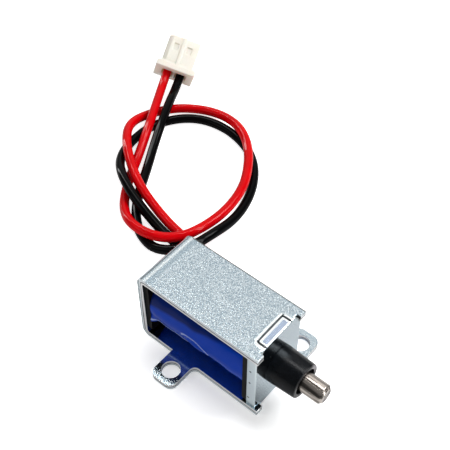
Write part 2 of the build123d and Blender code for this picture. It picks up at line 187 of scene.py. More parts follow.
class LeadSettings(bpy.types.PropertyGroup):
    diameter: length("Diameter", "Outer diameter of each lead", 0.0016)
    facets: IntProperty(name="Facets", description="Facets round each lead", default=16)
    plug_place: position("Plug place", "Middle of the plug's wire end", (-0.04705, 0.03845, 0.003216))
    plug_heading: angle("Plug heading", "Which way the plug points", 111.5)
    plug_rise: angle("Plug rise", "How far the plug's nose points up", 24)
    plug_lean: angle("Plug lean", "How far the plug leans over sideways", 20)
    plug_pitch: length("Plug pitch", "Distance between the plug's two cavities", 0.0025)
    insertion: length("Insertion", "How far each lead reaches into the plug", 0.0016)
    straight: length("Straight", "Straight stretch of each lead before the plug", 0.0025)


class ShapeSettings(bpy.types.PropertyGroup):
    steel_edge: length("Steel edge", "Rolled edge of the punched steel", 0.00016)
    sheet: length("Sheet", "Thickness of the bent strip", 0.001)
    width: length("Width", "Width of the bent strip", 0.01)
    bend: length("Bend", "Outer radius of the strip's two bends", 0.0014)
    travel: length("Travel", "How far the bolt draws in", 0.003)
    plug_edge: length("Plug edge", "Rounding of the plug's edges", 0.00012)
    stake_place: position("Stake place", "Middle of the upper far staked corner",
                          (PLATE_LOW.x + 0.00038, 0.00345, PLATE_HIGH.z - 0.00035))
    stake_sides: position("Stake sides", "Sides of each staked corner", (0.00176, 0.0014, 0.00068))
    stake_across: length("Stake across", "From a far to a near staked corner", 0.0069)
    stake_down: length("Stake down", "From an upper to a lower staked corner", 0.0125)
    stake_edge: length("Stake edge", "Rounding of the staked corners", 0.00004)


class BoltSettings(bpy.types.PropertyGroup):
    stem_start: length("Stem start", "Where the bolt's thin stem begins, in the plunger", BOLT_LOW.x)
    stem_radius: length("Stem radius", "Radius of that stem", 0.0008)
    shank_start: length("Shank start", "Where the bolt's full thickness begins", 0.00405)
    radius: length("Bolt radius", "Radius of the bolt", BOLT_HIGH.y)
    tip: length("Tip", "Where the bolt ends", BOLT_HIGH.x)
    spigot_start: length("Spigot start", "Where the sleeve begins, in the front plate", SLEEVE_LOW.x)
    spigot_radius: length("Spigot radius", "Outer radius of the sleeve in the plate", 0.00233)
    sleeve_root: length("Sleeve root", "Where the sleeve leaves the plate", PLATE_HIGH.x)
    sleeve_end: length("Sleeve end", "Where the sleeve ends", SLEEVE_HIGH.x)
    root_radius: length("Root radius", "Radius of the sleeve at the plate", SLEEVE_HIGH.y)
    end_radius: length("End radius", "Radius of the sleeve at its end", 0.0026)
    bore: length("Bore", "Radius of the bolt's hole", 0.00153)
    recess_radius: length("Recess radius", "Radius of the recess in the sleeve's end", 0.00195)
    recess_depth: length("Recess depth", "Depth of that recess", 0.0006)


class TapeSettings(bpy.types.PropertyGroup):
    radius: length("Tape radius", "Outer radius of the tape", TAPE_HIGH.y)
    film: length("Film", "Thickness of all layers of the tape", 0.0002)
    rear: length("Rear edge", "Where the tape begins, along the coil", TAPE_LOW.x)
    front: length("Front edge", "Where the tape ends, along the coil", TAPE_HIGH.x)
    axis_height: length("Axis height", "Height of the coil's axis", (TAPE_LOW.z + TAPE_HIGH.z) / 2)
    seam: angle("Seam", "Where the tape's inner end lies round the coil", 150)
    lap: angle("Lap", "How far the outer end laps over the inner end", 40)
    bubble_along: length("Bubble along", "Middle of the bubble, along the coil", -0.0037)
    bubble_below: length("Bubble below", "How far down the film from the axis it lies", 0.001)
    bubble_long: length("Bubble long", "Half the bubble's length", 0.0023)
    bubble_wide: length("Bubble wide", "Half the bubble's width", 0.00115)
    bubble_tilt: angle("Bubble tilt", "How far the bubble is turned", -14)
    bubble_rise: length("Bubble rise", "Height of the bubble's middle", 0.0002)
    rim_rise: length("Rim rise", "Height of the crease round the bubble", 0.00009)
    rim_width: number("Rim width", "Its width, as a share of the bubble's", 0.06)
    fold_turn: angle("Fold turn", "Where the fold lies round the coil", -24)
    fold_length: length("Fold length", "How far the fold runs from the rear edge", 0.006)
    fold_fade: length("Fold fade", "How far past that it fades out", 0.0015)
    fold_rise: length("Fold rise", "Height of the fold", 0.00007)
    edge_turn: angle("Edge turn", "Where the rear edge is lifted, round the coil", -30)
    edge_span: angle("Edge span", "How far round from there the lift fades out", 9)
    edge_reach: length("Edge reach", "How far in from the edge the lift fades out", 0.0007)
    edge_rise: length("Edge rise", "How far the rear edge is lifted", 0.00075)


# Heights of a lead's middle, in millimetres: near the floor, on top of another lead, and over a crossing
LOW = 0.8
ON_TOP = 2.6
OVER = 2.8

# Control points of the two leads, from the coil towards the plug, in millimetres
RED_ROUTE = (
    (-8.8, 4.0, 2.2), (-8.8, 6.5, 2.2), (-9.7, 8.8, 2.0), (-11.4, 10.55, 1.5), (-13.8, 11.5, 1.0),
    (-17.2, 11.5, LOW), (-21.4, 11.8, LOW), (-26.2, 12.8, LOW), (-31.8, 13.85, OVER),
    (-37.45, 17.1, OVER), (-41.9, 20.65, 2.9), (-44.95, 24.6, 2.1), (-45.2, 29.4, LOW),
    (-42.6, 33.8, LOW), (-38.4, 36.8, LOW), (-33.6, 37.4, 1.5), (-28.6, 35.8, ON_TOP),
    (-24.6, 33.0, ON_TOP), (-21.4, 29.0, ON_TOP), (-19.0, 24.6, ON_TOP), (-18.0, 19.4, ON_TOP),
    (-18.2, 14.6, OVER), (-19.6, 10.2, OVER), (-22.8, 7.6, OVER), (-27.6, 7.2, ON_TOP), (-32.1, 9.8, 1.1),
    (-35.8, 14.6, LOW), (-38.45, 19.7, LOW), (-41.2, 25.7, OVER), (-44.6, 31.4, 2.75),
)
BLACK_ROUTE = (
    (-10.6, 3.35, 2.2), (-10.6, 5.1, 2.2), (-11.14, 6.75, 2.1), (-12.16, 8.15, 1.9), (-13.57, 9.17, 1.65),
    (-15.22, 9.71, 1.35), (-18.2, 9.8, 0.85), (-21.7, 10.1, LOW), (-25.6, 10.8, LOW), (-30.6, 11.4, OVER),
    (-36.6, 14.1, OVER), (-40.65, 17.7, 1.4), (-42.5, 22.4, LOW), (-42.5, 27.6, LOW), (-40.3, 32.0, LOW),
    (-36.75, 34.75, LOW), (-31.95, 35.6, LOW), (-26.95, 34.65, LOW), (-22.85, 32.3, LOW),
    (-19.6, 28.4, LOW), (-17.6, 24.0, LOW), (-16.55, 19.2, 1.2), (-16.3, 14.0, OVER), (-17.2, 9.3, OVER),
    (-21.45, 6.5, 1.5), (-26.15, 7.55, LOW), (-29.85, 10.3, LOW), (-32.95, 14.5, LOW), (-35.5, 19.0, LOW),
    (-38.1, 23.6, 1.6), (-40.35, 28.1, 2.6), (-42.9, 33.0, 2.85),
)

# Lengths of the two modelled leads, in metres, from the coil to their ends in the plug
RED_LENGTH = 0.1484
BLACK_LENGTH = 0.1445

# What the attribute called sheared says of the steel. From SHEARED on it grows by 1 across the sheet
SKIN = 0.0
SHEARED = 1.0
PLATE_SIDE = 1.15
# Codes of the rolled rims: the near ones take a painted highlight, the far ones a painted dark reflection
NEAR_RIM = 3.0
FAR_RIM = 4.0

# Shares of a face's normal along an axis: hardly any, all of it, enough to be on top, enough to be an end
SLIGHT = 0.05
SQUARE = 0.97
TOPWARD = 0.3
ENDWARD = 0.6

# Tones across a sheared edge from the outside: a dark rim, a smooth band, a dark line and a torn band
CUT_LINE = (0.1, 0.11, 0.12)
TORN = (1.0, 1.0, 0.99)
SHEARED_TONES = (
    (0.0, (0.16, 0.17, 0.18)), (0.08, (0.75, 0.88, 0.92)), (0.4, (0.95, 0.98, 1.0)),
    (0.47, CUT_LINE), (0.6, CUT_LINE), (0.68, TORN), (1.0, TORN),
)

# Tones outwards from the plate's staked end, by the distance in millimetres: flat, a groove in painted shade
# and a ridge in painted highlight
GROOVE_SHADE = (0.03, 0.04, 0.045)
STAKE_TONES = (
    (0.0, (0.86, 0.9, 0.92)), (0.24, (0.95, 0.97, 0.98)), (0.3, GROOVE_SHADE), (0.54, GROOVE_SHADE),
    (0.6, (1.0, 1.0, 1.0)),
)
RIDGE_END = 0.85

# Middles of the small dents, and side and half width of the gaps beside the plate's end, in millimetres;
# both are drawn in painted shade
DENTS = ((6.12, -4.7, 9.13), (6.06, -4.7, 6.36), (5.89, -4.7, 2.56), (-4.83, -5.0, 12.7))
GAPS = ((3.72, 0.13), (-3.72, 0.06))

# Greys of the sky that reflections show, by the cosine of the angle to its brightest place
SKY_TONES = ((0.3, (0.2, 0.2, 0.2)), (0.72, (0.3, 0.3, 0.3)), (0.9, (1.0, 1.0, 1.0)))

# The dull and the bright tone of each drawn or stamped metal
DRAWN_METALS = {
    "brass_tube": ((0.5, 0.34, 0.1), (0.78, 0.58, 0.24)),
    "contact_brass": ((0.5, 0.38, 0.16), (0.8, 0.66, 0.38)),
    "spring_steel": ((0.3, 0.3, 0.31), (0.55, 0.55, 0.56)),
    "solder": ((0.5, 0.51, 0.53), (0.74, 0.75, 0.77)),
}

# Points round the eased corners of the turned pieces, along and out from each corner, in millimetres
STEM_CORNER = ((0.0, -0.08), (0.08, 0.0))
SHANK_CORNER = ((0.0, -0.1), (0.1, 0.0))
BOLT_CHAMFER = ((-0.44, 0.0), (-0.38, -0.015), (-0.04, -0.35), (0.0, -0.4))
SLEEVE_ROOT = ((0.0, -0.08), (0.05, -0.02), (0.13, -0.005))
SLEEVE_NOSE = ((-0.2, 0.009), (-0.1, -0.015), (-0.03, -0.07), (0.0, -0.15))
RECESS_LIP = ((0.0, 0.07), (-0.05, 0.0))

# Slow waves in the tape: height in millimetres, and phase per millimetre along and per degree round
TAPE_WAVES = ((0.03, 1.1, 0.05), (0.02, 2.3, -0.11))


class Nodes:
    """Short ways to add nodes to a node tree and to join them."""

    def __init__(self, tree):
        self.tree = tree

    def node(self, kind, **values):
        made = self.tree.nodes.new(kind)
        for key, value in values.items():
            made.inputs[key.replace("_", " ")].default_value = value
        return made

    def link(self, out_socket, in_socket):
        self.tree.links.new(out_socket, in_socket)

    def give(self, socket, value):
        """Link a socket to another, or set it to a number, a vector or a colour."""
        if isinstance(value, bpy.types.NodeSocket):
            self.link(value, socket)
        elif socket.type == "RGBA":
            socket.default_value = (*value, 1)
        else:
            socket.default_value = value

    def math(self, operation, first, second):
        made = self.tree.nodes.new("ShaderNodeMath")
        made.operation = operation
        self.give(made.inputs[0], first)
        self.give(made.inputs[1], second)
        return made.outputs[0]

    def vector(self, operation, first, second=None):
        made = self.tree.nodes.new("ShaderNodeVectorMath")
        made.operation = operation
        self.give(made.inputs[0], first)
        if second is not None:
            self.give(made.inputs[1], second)
        return made.outputs

    def bands(self, factor, stops):
        """Colours that change at the places given, from 0 to 1."""
        made = self.tree.nodes.new("ShaderNodeValToRGB")
        strip = made.color_ramp.elements
        while len(strip) < len(stops):
            strip.new(0.5)
        for band, (place, tone) in zip(strip, stops):
            band.position = place
            band.color = (*tone, 1)
        self.link(factor, made.inputs["Fac"])
        return made.outputs["Color"]

    def ramp(self, factor, low, high, start=0.3, end=0.7):
        return self.bands(factor, ((start, low), (end, high)))

    def mix(self, factor, first, second, blend="MIX"):
        """Mix two colours, at the node's sockets 6 and 7, into the one at its output 2."""
        made = self.tree.nodes.new("ShaderNodeMix")
        made.data_type = "RGBA"
        made.blend_type = blend
        self.give(made.inputs[0], factor)
        self.give(made.inputs[6], first)
        self.give(made.inputs[7], second)
        return made.outputs[2]

    def output(self, factor, first, second, end):
        """Mix two shaders into the tree's output node."""
        made = self.tree.nodes.new("ShaderNodeMixShader")
        for socket, value in zip(made.inputs, (factor, first, second)):
            self.link(value, socket)
        self.link(made.outputs[0], self.tree.nodes[end].inputs["Surface"])


class Finish(Nodes):
    """A material whose patterns read Object coordinates."""

    def __init__(self, name):
        taken = bpy.data.materials.get(name)
        if taken is not None:
            # The plain material that the frame brought along makes way
            taken.name = name + "_plain"
        self.material = bpy.data.materials.new(name)
        self.material["lock_made"] = True
        self.material.use_nodes = True
        super().__init__(self.material.node_tree)
        self.shader = self.tree.nodes["Principled BSDF"]

    def set(self, **values):
        for key, value in values.items():
            self.shader.inputs[key.replace("_", " ")].default_value = value

    def feed(self, socket, value):
        self.link(value, self.shader.inputs[socket])

    def place(self):
        return self.tree.nodes.new("ShaderNodeTexCoord").outputs["Object"]

    def coordinate(self, axis):
        parts = self.tree.nodes.new("ShaderNodeSeparateXYZ")
        self.link(self.place(), parts.inputs["Vector"])
        return parts.outputs[axis]

    def noise(self, size, detail=2.0, roughness=0.5, stretch=(1, 1, 1)):
        """Noise whose features are about size metres across, stretched along an axis if asked."""
        mapping = self.tree.nodes.new("ShaderNodeMapping")
        mapping.inputs["Scale"].default_value = stretch
        self.link(self.place(), mapping.inputs["Vector"])
        made = self.node("ShaderNodeTexNoise", Scale=1 / size, Detail=detail, Roughness=roughness)
        self.link(mapping.outputs["Vector"], made.inputs["Vector"])
        return made.outputs["Fac"]

    def away(self, middle, half=(0, 0, 0)):
        """Distance from a block, in metres, given its middle and half its sides."""
        aside = self.vector("ABSOLUTE", self.vector("SUBTRACT", self.place(), middle)[0])[0]
        past = self.vector("MAXIMUM", self.vector("SUBTRACT", aside, half)[0], (0, 0, 0))[0]
        return self.vector("LENGTH", past)["Value"]

    def range(self, factor, low, high, start=0.0, end=1.0):
        """A number that goes from low to high while the factor goes from start to end."""
        made = self.node("ShaderNodeMapRange", From_Min=start, From_Max=end, To_Min=low, To_Max=high)
        self.link(factor, made.inputs["Value"])
        return made.outputs["Result"]

    def within(self, distance, reach, fade, most=1.0):
        """The share given up to the reach, falling to 0 over the fade."""
        return self.range(distance, most, 0.0, reach, reach + fade)

    def attribute(self, name):
        made = self.tree.nodes.new("ShaderNodeAttribute")
        made.attribute_name = name
        return made.outputs["Fac"]

    def bump(self, height, depth, strength):
        made = self.node("ShaderNodeBump", Strength=strength, Distance=depth)
        self.link(height, made.inputs["Height"])
        self.feed("Normal", made.outputs["Normal"])


def shade(base, share):
    return tuple(share * value for value in base)


def zinc_finish(settings, marks):
    """Bright zinc with a fine sparkle, on which its sheared edges, rims, marks and dents are drawn. The near
    rims, the bend line and the stake's ridge are painted highlights; the far rims and the far edge are
    painted dark reflections; the bend band, the stake's groove, the gaps and the dents are painted shade.
    """
    made = Finish("zinc_steel")
    grain = made.noise(settings.grain, detail=4, roughness=0.8)
    plated = made.ramp(grain, settings.zinc_dark, settings.zinc_light, 0.45, 0.62)
    sheared = made.attribute("sheared")
    is_sheared = made.math("GREATER_THAN", sheared, SHEARED / 2)
    tone = made.mix(is_sheared, plated, sheared_tone(made, sheared))
    # Painted highlight on the near rims, painted dark reflection on the far rims
    for code, rim in ((NEAR_RIM, settings.rim_highlight), (FAR_RIM, settings.painted_dark)):
        tone = made.mix(made.math("GREATER_THAN", sheared, code - 0.5), tone, rim)
    tone = draw_bend(made, settings, marks, tone)
    tone = draw_stake(made, settings, marks, tone)
    # Painted shade in the gaps beside the plate's end
    for side, half in GAPS:
        middle = Vector(marks.gap) + Vector((0, side * MM, 0))
        gap = made.away(middle, (marks.gap_depth, half * MM, marks.gap_depth))
        tone = made.mix(made.within(gap, 0.02 * MM, 0.03 * MM), tone, shade(settings.painted_dark, 0.3))
    # Painted shade in the small dents
    for place in DENTS:
        dented = made.within(made.away(Vector(place) * MM), marks.dent, 0.06 * MM)
        tone = made.mix(dented, tone, settings.painted_dark)
    made.feed("Base Color", tone)
    made.feed("Metallic", made.range(is_sheared, 1.0, 0.4))
    made.feed("Roughness", made.range(grain, 0.16, 0.07))
    made.bump(grain, 0.006 * MM, 0.3)


def sheared_tone(made, sheared):
    """The tones across a sheared edge, whose borders wander a little."""
    wander = 0.16
    wandering = made.math("MULTIPLY", made.noise(0.5 * MM, detail=3), wander)
    depth = made.math("SUBTRACT", made.math("ADD", sheared, wandering), SHEARED + wander / 2)
    return made.bands(depth, SHEARED_TONES)


def draw_bend(made, settings, marks, tone):
    """A painted highlight line and a painted shade band across the top at its bend, and a painted dark
    reflection along its far edge.
    """
    top, half = FRAME_HIGH.z, bpy.context.scene.lock_shape.width / 2
    thin = 0.05 * MM
    # Painted highlight along the bend
    line = made.away((FRAME_LOW.x + marks.bend_highlight, 0, top), (thin, half, thin))
    tone = made.mix(made.within(line, 0.0, 0.25 * MM, 0.6), tone, settings.bend_highlight)
    # Painted shade beside it
    band = made.away((FRAME_LOW.x + marks.bend_shade, 0, top), (3 * thin, half, thin))
    tone = made.mix(made.within(band, 0.0, 0.4 * MM, 0.55), tone, settings.zinc_dark)
    # Painted dark reflection along the far edge of the top
    edge = made.away((0, half, top), (12 * MM, 0, thin))
    on_dark_reflection = made.math("LESS_THAN", edge, marks.dark_reflection_width)
    return made.mix(made.math("MULTIPLY", on_dark_reflection, made.attribute("top_skin")), tone, settings.painted_dark)


def draw_stake(made, settings, marks, tone):
    """The plate's staked end in the top, with a bluish strip on it, and round it a groove in painted shade
    and a ridge in painted highlight.
    """
    outwards = made.math("MULTIPLY", made.away(marks.stake, marks.stake_half), 1 / MM)
    # The groove is painted dark as shade and the ridge painted white as a highlight
    staked = made.bands(outwards, (*STAKE_TONES, (RIDGE_END, settings.zinc_light)))
    in_area = made.within(made.away(marks.stake_area, marks.stake_area_half), 0.1 * MM, 0.02 * MM)
    near = made.math("MULTIPLY", made.within(outwards, 0.75, 0.3), in_area)
    tone = made.mix(near, tone, staked)
    strip = made.away(marks.strip, marks.strip_half)
    return made.mix(made.within(strip, 0.06 * MM, 0.08 * MM), tone, settings.plate_strip)


def nickel_finish(settings):
    """Turned nickel, with dark bands along the bolt that are a painted reflection of the surroundings."""
    made = Finish("nickel")
    made.set(Metallic=1.0)
    # Painted dark reflection in bands along the bolt
    drawn = made.noise(0.7 * MM, detail=3, stretch=(0.06, 1, 1))
    made.feed("Base Color", made.ramp(drawn, shade(settings.nickel, 0.16), settings.nickel, 0.42, 0.54))
    made.feed("Roughness", made.range(drawn, 0.3, 0.16))
    made.bump(made.noise(0.08 * MM), 0.003 * MM, 0.4)


def iron_finish():
    """Turned iron of the core and the plunger."""
    made = Finish("soft_iron")
    made.set(Metallic=1.0)
    turned_lines = made.noise(0.1 * MM, stretch=(1, 0.1, 0.1))
    made.feed("Base Color", made.ramp(turned_lines, (0.3, 0.3, 0.31), (0.5, 0.5, 0.5)))
    made.feed("Roughness", made.range(turned_lines, 0.25, 0.45))


def tape_finish(settings):
    """Glossy film, with painted shade of the top plate over its upper part."""
    made = Finish("blue_tape")
    made.set(Roughness=0.1, Specular_IOR_Level=0.12)
    # The upper part of the tape is painted darker as the top plate's shade; its edge wanders a little
    slant = made.math("MULTIPLY", made.coordinate("X"), settings.shade_slant)
    lap = made.math("ADD", made.coordinate("Z"), slant)
    wander = made.math("MULTIPLY", made.noise(5 * MM, detail=1), 1.6 * MM)
    height = made.math("ADD", lap, wander)
    shade_painted = made.range(height, 0.0, 1.0, settings.shade_height, settings.shade_height + 0.5 * MM)
    film = made.ramp(shade_painted, settings.tape, shade(settings.tape, 0.3), 0.0, 1.0)
    # The crease attribute carries a painted highlight
    made.feed("Base Color", made.mix(made.attribute("crease"), film, settings.crease))
    made.bump(made.noise(1.6 * MM, detail=3, stretch=(0.5, 1, 1)), 0.02 * MM, 0.25)


def film_finish():
    """Yellowish film round the winding and the joints."""
    made = Finish("clear_tape")
    made.set(Roughness=0.25)
    made.feed("Base Color", made.ramp(made.noise(0.8 * MM), (0.5, 0.34, 0.08), (0.62, 0.46, 0.16)))


def copper_finish():
    """Enamelled wire, turn by turn."""
    made = Finish("copper_wire")
    made.set(Metallic=1.0, Roughness=0.3)
    turns = made.noise(0.12 * MM, detail=1, stretch=(1, 0.05, 0.05))
    made.feed("Base Color", made.ramp(turns, (0.35, 0.11, 0.04), (0.75, 0.32, 0.14)))
    made.bump(turns, 0.03 * MM, 0.8)


def drawn_finish(name, dull, bright):
    """Drawn or stamped metal with faint lines along it."""
    made = Finish(name)
    made.set(Metallic=1.0, Roughness=0.28)
    drawn = made.noise(0.15 * MM, stretch=(0.2, 1, 1))
    made.feed("Base Color", made.ramp(drawn, dull, bright))


def moulded_finish(name, base, roughness, gloss=0.5):
    """Plain moulded plastic or rubber with a fine skin."""
    made = Finish(name)
    made.set(Specular_IOR_Level=gloss)
    skin = made.noise(0.16 * MM, detail=3, roughness=0.6)
    made.feed("Base Color", made.ramp(skin, shade(base, 0.9), base))
    made.feed("Roughness", made.range(skin, roughness + 0.06, roughness - 0.06))
    made.bump(skin, 0.01 * MM, 0.3)


def sleeve_finish(settings):
    """Black moulding with a fine grain, a paler end face and a painted highlight in one place on that face.
    """
    made = Finish("black_sleeve")
    made.set(Specular_IOR_Level=0.14)
    grain = made.noise(0.11 * MM, detail=3, roughness=0.7)
    side = made.ramp(grain, shade(settings.sleeve, 0.5), shade(settings.sleeve, 2.5))
    # Painted highlight on the end face
    highlight = made.within(made.away(settings.sleeve_patch), 0.5 * MM, 0.9 * MM)
    end = made.mix(highlight, settings.sleeve_face, settings.sleeve_highlight)
    made.feed("Base Color", made.mix(made.attribute("end_face"), side, end))
    made.feed("Roughness", made.range(grain, 0.32, 0.16))
    made.bump(grain, 0.014 * MM, 0.8)


def plug_finish(settings):
    """Unfilled nylon, through which the light spreads a little."""
    made = Finish("ivory_nylon")
    made.set(Subsurface_Weight=0.7, Subsurface_Scale=1.2 * MM, Subsurface_Radius=(1.0, 0.75, 0.6))
    skin = made.noise(0.16 * MM, detail=3, roughness=0.6)
    made.feed("Base Color", made.ramp(skin, shade(settings.ivory, 0.94), settings.ivory))
    made.feed("Roughness", made.range(skin, 0.48, 0.36))


def lead_finish(name, base, gloss):
    """Smooth insulation with a slow change of tone."""
    made = Finish(name)
    made.set(Roughness=0.1, Specular_IOR_Level=gloss)
    made.feed("Base Color", made.ramp(made.noise(3 * MM), shade(base, 0.86), base))
    made.bump(made.noise(0.8 * MM), 0.01 * MM, 0.1)


def make_finishes(settings, marks):
    """Every finish, named as its slot."""
    zinc_finish(settings, marks)
    nickel_finish(settings)
    iron_finish()
    tape_finish(settings)
    film_finish()
    copper_finish()
    for name, (dull, bright) in DRAWN_METALS.items():
        drawn_finish(name, dull, bright)
    moulded_finish("black_nylon", (0.006, 0.005, 0.004), 0.36, gloss=0.06)
    sleeve_finish(settings)
    moulded_finish("rubber", (0.03, 0.03, 0.03), 0.7)
    plug_finish(settings)
    lead_finish("red_insulation", settings.red, 0.1)
    lead_finish("black_insulation", settings.black, 0.055)


def finish_named(name):
    found = bpy.data.materials.get(name)
    if found is None or not found.use_nodes or "lock_made" not in found:
        raise RuntimeError("the finish " + name + " hasn't been made")
    return found


def dress(piece, slot):
    """Give a piece one finish, in its first material slot."""
    piece.data.materials.clear()
    piece.data.materials.append(finish_named(slot))


def hand_over(piece, slot, body, node=None):
    """Dress a piece, hide the CAD node it stands in for, and put it on its body."""
    dress(piece, slot)
    if node is not None:
        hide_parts(node)
    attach(piece, body)


def select_only(piece):
    bpy.ops.object.select_all(action="DESELECT")
    if piece is not None:
        piece.select_set(True)
        bpy.context.view_layer.objects.active = piece


def edit_all():
    bpy.ops.object.mode_set(mode="EDIT")
    bpy.ops.mesh.select_all(action="SELECT")


def stand(name, data):
    """Put a mesh or a curve into the scene as an object, and select it alone."""
    piece = bpy.data.objects.new(name, data)
    bpy.context.scene.collection.objects.link(piece)
    select_only(piece)
    return piece


def mark(piece, name, domain, value_of):
    """Store a number on the piece's corners or points, for its finish to read."""
    layer = piece.data.attributes.new(name, "FLOAT", domain)
    if domain == "POINT":
        for number, corner in enumerate(piece.data.vertices):
            layer.data[number].value = value_of(corner.co)
        return
    for face in piece.data.polygons:
        for number in face.loop_indices:
            corner = piece.data.vertices[piece.data.loops[number].vertex_index]
            layer.data[number].value = value_of(face, corner.co)


def round_corner(along, reach, offsets):
    """Points of an outline round one of its corners, from offsets in millimetres."""
    return [(along + ahead * MM, reach + out * MM) for ahead, out in offsets]


def turned(name, outline, slot, node, body):
    """Turn an outline, of places along the bolt's axis and radii from it, round that axis."""
    axis_height = bpy.context.scene.lock_tape.axis_height
    points = [Vector((along, 0, axis_height + reach)) for along, reach in outline]
    select_only(None)
    bpy.ops.mesh.primitive_plane_add(size=MM, location=points[0])
    piece = bpy.context.object
    piece.name = name
    bpy.ops.object.transform_apply(location=True, rotation=True, scale=True)
    edit_all()
    bpy.ops.mesh.merge(type="CENTER")
    for before, point in zip(points, points[1:]):
        bpy.ops.mesh.extrude_region_move(TRANSFORM_OT_translate={"value": point - before})
    bpy.ops.mesh.select_all(action="SELECT")
    bpy.ops.mesh.spin(steps=96, angle=2 * math.pi, center=(0, 0, axis_height), axis=(1, 0, 0))
    bpy.ops.mesh.select_all(action="SELECT")
    bpy.ops.mesh.remove_doubles(threshold=0.0005 * MM)
    bpy.ops.mesh.normals_make_consistent(inside=False)
    bpy.ops.object.mode_set(mode="OBJECT")
    bpy.ops.object.shade_smooth_by_angle(angle=math.radians(32))
    hand_over(piece, slot, body, node)
    return piece


def merged_copy(node, name, gap):
    """Stand a copy of a CAD node in its place, join its loose triangles and leave it in edit mode."""
    piece = stand(name, frame["nodes"][node].data.copy())
    edit_all()
    bpy.ops.mesh.remove_doubles(threshold=gap)
    return piece


def rounded_copy(node, name, edge, slot):
    """A merged copy of a CAD node with its sharp edges rounded and its flat faces kept flat."""
    piece = merged_copy(node, name, 0.002 * MM)
    bpy.ops.mesh.dissolve_limited(angle_limit=math.radians(1))
    bpy.ops.object.mode_set(mode="OBJECT")
    rounding = piece.modifiers.new("rounding", "BEVEL")
    rounding.width = edge
    rounding.segments = 2
    rounding.limit_method = "ANGLE"
    rounding.angle_limit = math.radians(30)
    rounding.use_clamp_overlap = True
    bpy.ops.object.modifier_apply(modifier="rounding")
    bpy.ops.object.shade_smooth_by_angle(angle=math.radians(60))
    flats = piece.modifiers.new("flats", "WEIGHTED_NORMAL")
    flats.weight = 100
    flats.keep_sharp = True
    bpy.ops.object.modifier_apply(modifier="flats")
    hand_over(piece, slot, frame["nodes"][node]["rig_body"], node)
    return piece


def hump(offset, width):
    """A soft hump, 1 in its middle and nearly gone at twice its width."""
    return math.exp(-(offset / width) ** 2)


class LOCK_OT_stage(bpy.types.Operator):
    """Set the camera, the floor, the lamps and the sky"""
    bl_idname = "lock.stage"
    bl_label = "Stage"

    def execute(self, context):
        settings = context.scene.lock_stage
        self.camera(context, settings)
        self.floor(context, settings)
        self.lamp(context, "key_light", settings.key_power, settings.key_size, settings.key_place)
        self.lamp(context, "fill_light", settings.fill_power, settings.fill_size, settings.fill_place)
        self.sky(context, settings)
        context.scene.view_settings.view_transform = "Standard"
        return {"FINISHED"}

    def camera(self, context, settings):
        bpy.ops.object.camera_add(location=settings.camera_place, rotation=settings.camera_turn)
        camera = context.object
        camera.name = "camera"
        camera.data.lens = settings.camera_lens
        camera.data.sensor_width = 36
        camera.data.clip_start = 0.005
        camera.data.clip_end = 10
        context.scene.camera = camera

    def floor(self, context, settings):
        """White as the camera sees it, and plain to all other rays. Round the frame less light is added,
        which keeps its real shadow and paints shade there as well.
        """
        bpy.ops.mesh.primitive_plane_add(size=settings.floor_size, location=(0, 0, 0))
        floor = context.object
        floor.name = "floor"
        made = Finish("floor_white")
        made.set(Roughness=0.9, Base_Color=(0.9, 0.9, 0.9, 1), Specular_IOR_Level=0.1)
        close = made.within(made.away(settings.shade_place, settings.shade_half), 0.0, settings.shade_fade)
        glow = made.tree.nodes.new("ShaderNodeEmission")
        made.link(made.range(close, settings.floor_lift, settings.shade_lift), glow.inputs["Strength"])
        lifted = made.tree.nodes.new("ShaderNodeAddShader")
        made.link(made.shader.outputs[0], lifted.inputs[0])
        made.link(glow.outputs[0], lifted.inputs[1])
        rays = made.tree.nodes.new("ShaderNodeLightPath").outputs
        made.output(rays["Is Camera Ray"], made.shader.outputs[0], lifted.outputs[0], "Material Output")
        floor.data.materials.append(made.material)

    def lamp(self, context, name, power, size, place):
        bpy.ops.object.light_add(type="AREA", location=place)
        lamp = context.object
        lamp.name = name
        lamp.data.energy = power
        lamp.data.size = size
        lamp.rotation_euler = Vector(place).to_track_quat("Z", "Y").to_euler()

    def sky(self, context, settings):
        """Even light on things, white to the camera, and dark with a bright place and a strip in gloss."""
        world = bpy.data.worlds.new("sky")
        world.use_nodes = True
        made = Nodes(world.node_tree)
        even = made.tree.nodes["Background"]
        even.inputs["Color"].default_value = (1, 1, 1, 1)
        even.inputs["Strength"].default_value = settings.sky
        way = made.tree.nodes.new("ShaderNodeTexCoord").outputs["Generated"]
        shine = made.bands(made.vector("DOT_PRODUCT", way, settings.shine)["Value"], SKY_TONES)
        off_strip = made.math("ABSOLUTE", made.vector("DOT_PRODUCT", way, settings.strip_across)["Value"], 0)
        on_strip = made.math("LESS_THAN", off_strip, settings.strip_width)
        mirrored = made.mix(1, shine, made.math("MULTIPLY", on_strip, settings.strip), "ADD")
        rays = made.tree.nodes.new("ShaderNodeLightPath").outputs
        shown = made.tree.nodes.new("ShaderNodeBackground")
        made.link(made.mix(rays["Is Glossy Ray"], (1, 1, 1), mirrored), shown.inputs["Color"])
        in_gloss = made.math("MAXIMUM", rays["Is Glossy Ray"], rays["Is Transmission Ray"])
        is_shown = made.math("MAXIMUM", rays["Is Camera Ray"], in_gloss)
        made.output(is_shown, even.outputs[0], shown.outputs[0], "World Output")
        context.scene.world = world


class LOCK_OT_finishes(bpy.types.Operator):
    """Make the finishes and give each CAD piece its own"""
    bl_idname = "lock.finishes"
    bl_label = "Finishes"

    def execute(self, context):
        make_finishes(context.scene.lock_finish, context.scene.lock_marks)
        for part in frame["record"]["subparts"]:
            dress(frame["nodes"][part["node"]], part["material_slot"])
        return {"FINISHED"}


